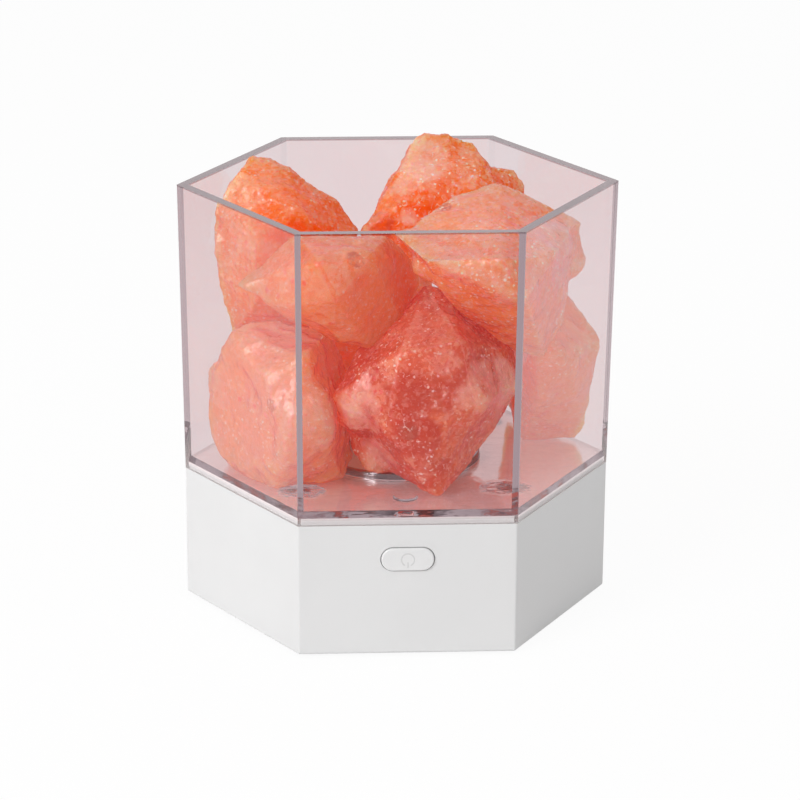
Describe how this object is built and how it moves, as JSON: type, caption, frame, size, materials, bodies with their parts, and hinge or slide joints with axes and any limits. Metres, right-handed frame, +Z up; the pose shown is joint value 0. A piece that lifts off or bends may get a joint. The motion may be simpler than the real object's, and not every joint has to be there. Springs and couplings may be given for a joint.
{
  "type": "salt crystal lamp",
  "caption": "Small hexagonal table lamp: a clear open tub filled with rough orange rock salt stands over a light in a white base with a push button on its front face.",
  "frame": {"origin": "on the hexagon's axis at the underside of the feet", "axes": "+Z up; -Y towards the face with the button; +X to the right seen from the front"},
  "size_m": [0.1078, 0.0936, 0.1123],
  "materials": {
    "white_plastic": "fine satin moulded",
    "screw_steel": "zinc plated",
    "foot_rubber": "soft matt",
    "mirror_sheet": "mirror film on a thin sheet",
    "chrome_ring": "polished",
    "lens_plastic": "clear, lightly frosted",
    "cup_plastic": "white",
    "board_white": "solder mask",
    "led_yellow": "phosphor",
    "board_green": "solder mask",
    "component_black": "moulded",
    "socket_plastic": "moulded",
    "socket_steel": "stamped",
    "wire_jacket": "soft insulation",
    "button_plastic": "satin",
    "clear_acrylic": "clear, polished, faint pink grey",
    "salt_peach": "broken, translucent",
    "salt_red": "broken, translucent, speckled",
    "salt_pale": "broken, cloudy",
    "salt_orange": "broken, translucent, glowing edges"
  },
  "bodies": {
    "base": {"base_housing": "white_plastic", "bottom_cover": "white_plastic", "cover_screws": "screw_steel", "rubber_feet": "foot_rubber", "mirror_plate": "mirror_sheet", "deck_screws": "screw_steel", "light_bezel": "chrome_ring", "light_lens": "lens_plastic", "reflector_cup": "cup_plastic", "led_board": "board_white", "led_chips": "led_yellow", "led_board_screws": "screw_steel", "main_board": "board_green", "main_board_screws": "screw_steel", "main_board_parts": "component_black", "wire_sockets": "socket_plastic", "usb_socket": "socket_steel", "usb_tongue": "component_black", "led_wires": "wire_jacket", "button_wires": "wire_jacket", "switch_body": "component_black", "button_board": "board_green", "button_board_screws": "screw_steel"},
    "button": {"power_button": "button_plastic", "switch_plunger": "component_black"},
    "tub": {"clear_tub": "clear_acrylic", "salt_front_left": "salt_peach", "salt_front_middle": "salt_red", "salt_right": "salt_pale", "salt_rear_left": "salt_orange"},
    "lump_middle_left": {"salt_middle_left": "salt_orange"},
    "lump_top_right": {"salt_top_right": "salt_peach"},
    "lump_top_left": {"salt_top_left": "salt_orange"},
    "lump_top_back": {"salt_top_back": "salt_orange"}
  },
  "joints": [
    {"name": "button_push", "type": "slide", "parent": "base", "child": "button", "axis": [0, 1, 0], "range_m": [0, 0.0005], "stiffness_N_per_m": 1600},
    {"name": "tub_lift", "type": "slide", "parent": "base", "child": "tub", "axis": [0, 0, 1], "range_m": [0, 0.06]},
    {"name": "middle_left_lift", "type": "slide", "parent": "tub", "child": "lump_middle_left", "axis": [0, 0, 1], "range_m": [0, 0.045]},
    {"name": "top_right_lift", "type": "slide", "parent": "tub", "child": "lump_top_right", "axis": [0, 0, 1], "range_m": [0, 0.045]},
    {"name": "top_left_lift", "type": "slide", "parent": "tub", "child": "lump_top_left", "axis": [0, 0, 1], "range_m": [0, 0.045]},
    {"name": "top_back_lift", "type": "slide", "parent": "tub", "child": "lump_top_back", "axis": [0, 0, 1], "range_m": [0, 0.045]}
  ]
}
